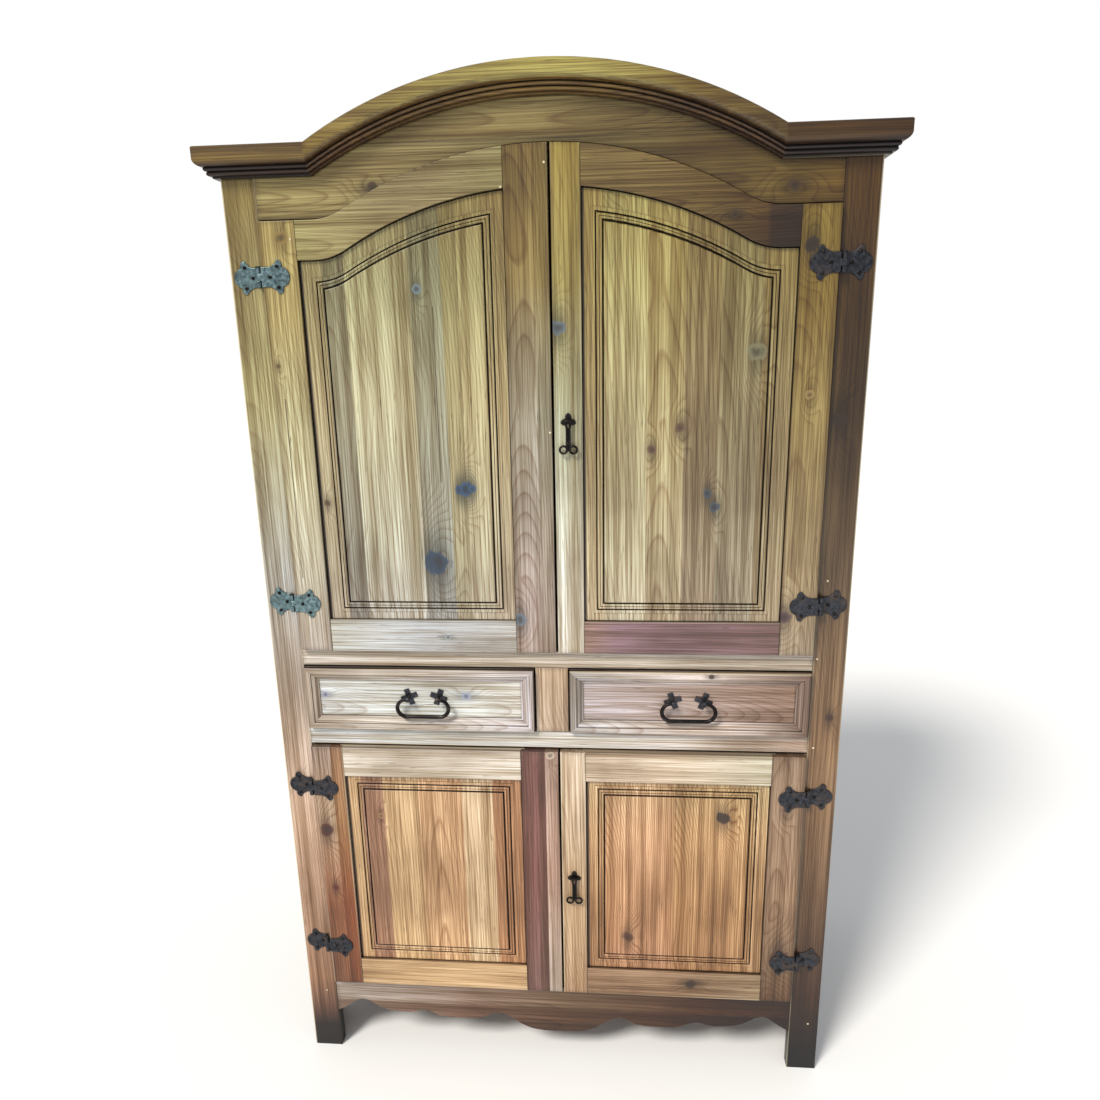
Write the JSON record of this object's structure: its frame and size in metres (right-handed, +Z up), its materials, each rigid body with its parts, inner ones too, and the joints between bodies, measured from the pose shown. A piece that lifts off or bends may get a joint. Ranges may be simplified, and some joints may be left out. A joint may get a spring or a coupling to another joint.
{
  "type": "armoire",
  "caption": "Pine armoire with arched crown, tall panelled doors over drawers and low doors, scalloped apron, wrought iron hinges and pulls.",
  "frame": {"origin": "on the floor, under the middle of the whole piece's box", "axes": "+Z up, -Y towards the person who opens the doors, +X to that person's right"},
  "size_m": [1.216, 0.593, 2.048],
  "materials": {
    "waxed_pine": "waxed, worn satin",
    "panel_pine": "waxed, worn satin",
    "plain_pine": "bare sawn boards",
    "wrought_iron": "blackened, hammered"
  },
  "bodies": {
    "case": {"left_front_stile": "waxed_pine", "right_front_stile": "waxed_pine", "arched_top_rail": "waxed_pine", "tympanum_board": "waxed_pine", "mid_rail": "waxed_pine", "lower_rail": "waxed_pine", "drawer_muntin": "waxed_pine", "scalloped_apron": "waxed_pine", "left_side_panel": "waxed_pine", "right_side_panel": "waxed_pine", "back_boards": "plain_pine", "bottom_deck": "plain_pine", "drawer_deck": "plain_pine", "upper_deck": "plain_pine", "roof_board": "plain_pine", "lower_shelf": "plain_pine", "upper_shelf": "plain_pine", "shelf_cleats": "plain_pine", "drawer_guides": "plain_pine", "crown_centre_arch": "waxed_pine", "crown_front_ends": "waxed_pine", "crown_side_returns": "waxed_pine", "frame_hinge_leaves": "wrought_iron", "hinge_pins": "wrought_iron"},
    "upper_left_door": {"upper_left_door_hinge_stile": "waxed_pine", "upper_left_door_meeting_stile": "waxed_pine", "upper_left_door_panel": "panel_pine", "upper_left_door_hinge_leaves": "wrought_iron", "upper_left_door_top_rail": "waxed_pine", "upper_left_door_bottom_rail": "waxed_pine"},
    "upper_right_door": {"upper_right_door_hinge_stile": "waxed_pine", "upper_right_door_meeting_stile": "waxed_pine", "upper_right_door_panel": "panel_pine", "upper_right_door_hinge_leaves": "wrought_iron", "upper_right_door_top_rail": "waxed_pine", "upper_right_door_bottom_rail": "waxed_pine", "upper_pull_plate": "wrought_iron"},
    "lower_left_door": {"lower_left_door_hinge_stile": "waxed_pine", "lower_left_door_meeting_stile": "waxed_pine", "lower_left_door_panel": "panel_pine", "lower_left_door_hinge_leaves": "wrought_iron", "lower_left_door_rails": "waxed_pine"},
    "lower_right_door": {"lower_right_door_hinge_stile": "waxed_pine", "lower_right_door_meeting_stile": "waxed_pine", "lower_right_door_panel": "panel_pine", "lower_right_door_hinge_leaves": "wrought_iron", "lower_right_door_rails": "waxed_pine", "lower_pull_plate": "wrought_iron"},
    "left_drawer": {"left_drawer_front": "waxed_pine", "left_drawer_moulding": "waxed_pine", "left_drawer_box": "plain_pine", "left_drawer_pull_posts": "wrought_iron"},
    "left_bail": {"left_drawer_bail": "wrought_iron"},
    "right_drawer": {"right_drawer_front": "waxed_pine", "right_drawer_moulding": "waxed_pine", "right_drawer_box": "plain_pine", "right_drawer_pull_posts": "wrought_iron"},
    "right_bail": {"right_drawer_bail": "wrought_iron"},
    "upper_pull": {"upper_drop_pull": "wrought_iron"},
    "lower_pull": {"lower_drop_pull": "wrought_iron"}
  },
  "joints": [
    {"name": "upper_left_door_hinge", "type": "hinge", "parent": "case", "child": "upper_left_door", "pos_m": [-0.5175, -0.2755, 1.406], "axis": [0, 0, -1], "range_deg": [0, 180]},
    {"name": "upper_right_door_hinge", "type": "hinge", "parent": "case", "child": "upper_right_door", "pos_m": [0.5175, -0.2755, 1.406], "axis": [0, 0, 1], "range_deg": [0, 180]},
    {"name": "lower_left_door_hinge", "type": "hinge", "parent": "case", "child": "lower_left_door", "pos_m": [-0.5175, -0.2755, 0.4885], "axis": [0, 0, -1], "range_deg": [0, 180]},
    {"name": "lower_right_door_hinge", "type": "hinge", "parent": "case", "child": "lower_right_door", "pos_m": [0.5175, -0.2755, 0.4885], "axis": [0, 0, 1], "range_deg": [0, 180]},
    {"name": "left_drawer_slide", "type": "slide", "parent": "case", "child": "left_drawer", "axis": [0, -1, 0], "range_m": [0, 0.35]},
    {"name": "left_bail_pivot", "type": "hinge", "parent": "left_drawer", "child": "left_bail", "pos_m": [-0.26388, -0.2815, 0.89325], "axis": [-1, 0, 0], "range_deg": [0, 110]},
    {"name": "right_drawer_slide", "type": "slide", "parent": "case", "child": "right_drawer", "axis": [0, -1, 0], "range_m": [0, 0.35]},
    {"name": "right_bail_pivot", "type": "hinge", "parent": "right_drawer", "child": "right_bail", "pos_m": [0.27287, -0.2815, 0.89325], "axis": [-1, 0, 0], "range_deg": [0, 110]},
    {"name": "upper_pull_pivot", "type": "hinge", "parent": "upper_right_door", "child": "upper_pull", "pos_m": [0.041, -0.2855, 1.453], "axis": [-1, 0, 0], "range_deg": [0, 110]},
    {"name": "lower_pull_pivot", "type": "hinge", "parent": "lower_right_door", "child": "lower_pull", "pos_m": [0.041, -0.2855, 0.487], "axis": [-1, 0, 0], "range_deg": [0, 110]}
  ]
}
